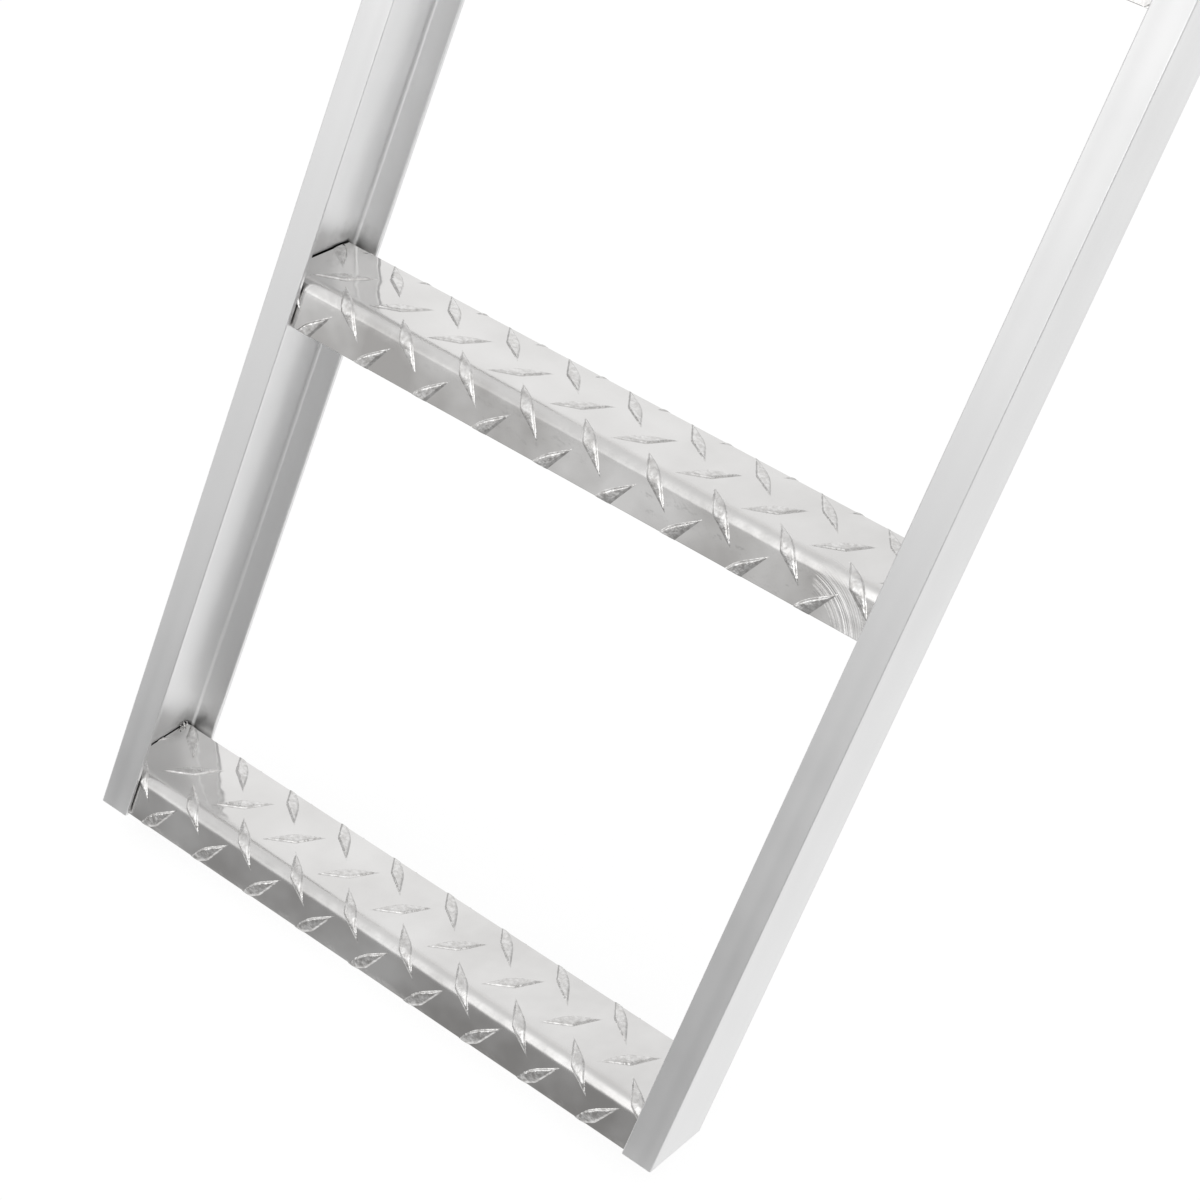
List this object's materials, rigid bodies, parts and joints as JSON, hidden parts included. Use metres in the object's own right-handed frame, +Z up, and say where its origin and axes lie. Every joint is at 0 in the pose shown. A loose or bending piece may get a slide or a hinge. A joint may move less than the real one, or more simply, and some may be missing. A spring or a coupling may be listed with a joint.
{
  "type": "pontoon boat ladder",
  "caption": "Welded aluminium boarding ladder: channel rails and bent diamond-plate treads, bolted to a boat's deck by an angle across its top.",
  "frame": {"origin": "centre of the deck angle's rear face, the flat face that is bolted to the boat's deck edge", "axes": "+Y points to the boat, out of the deck angle's rear face; +X runs across the ladder along its treads; +Z is up, with the treads level and the rails leaning back to the boat"},
  "size_m": [0.38, 0.4742, 1.5177],
  "materials": {
    "rail_extrusion": "satin mill finish, as extruded",
    "tread_plate": "bright rolled diamond plate",
    "angle_extrusion": "satin mill finish, as extruded",
    "weld": "welded bead, not ground"
  },
  "bodies": {
    "root": {"left_rail": "rail_extrusion", "right_rail": "rail_extrusion", "tread_1": "tread_plate", "tread_1_left_weld": "weld", "tread_1_right_weld": "weld", "tread_2": "tread_plate", "tread_2_left_weld": "weld", "tread_2_right_weld": "weld", "tread_3": "tread_plate", "tread_3_left_weld": "weld", "tread_3_right_weld": "weld", "tread_4": "tread_plate", "tread_4_left_weld": "weld", "tread_4_right_weld": "weld", "tread_5": "tread_plate", "tread_5_left_weld": "weld", "tread_5_right_weld": "weld", "deck_angle": "angle_extrusion", "left_top_weld": "weld", "right_top_weld": "weld"}
  },
  "joints": []
}
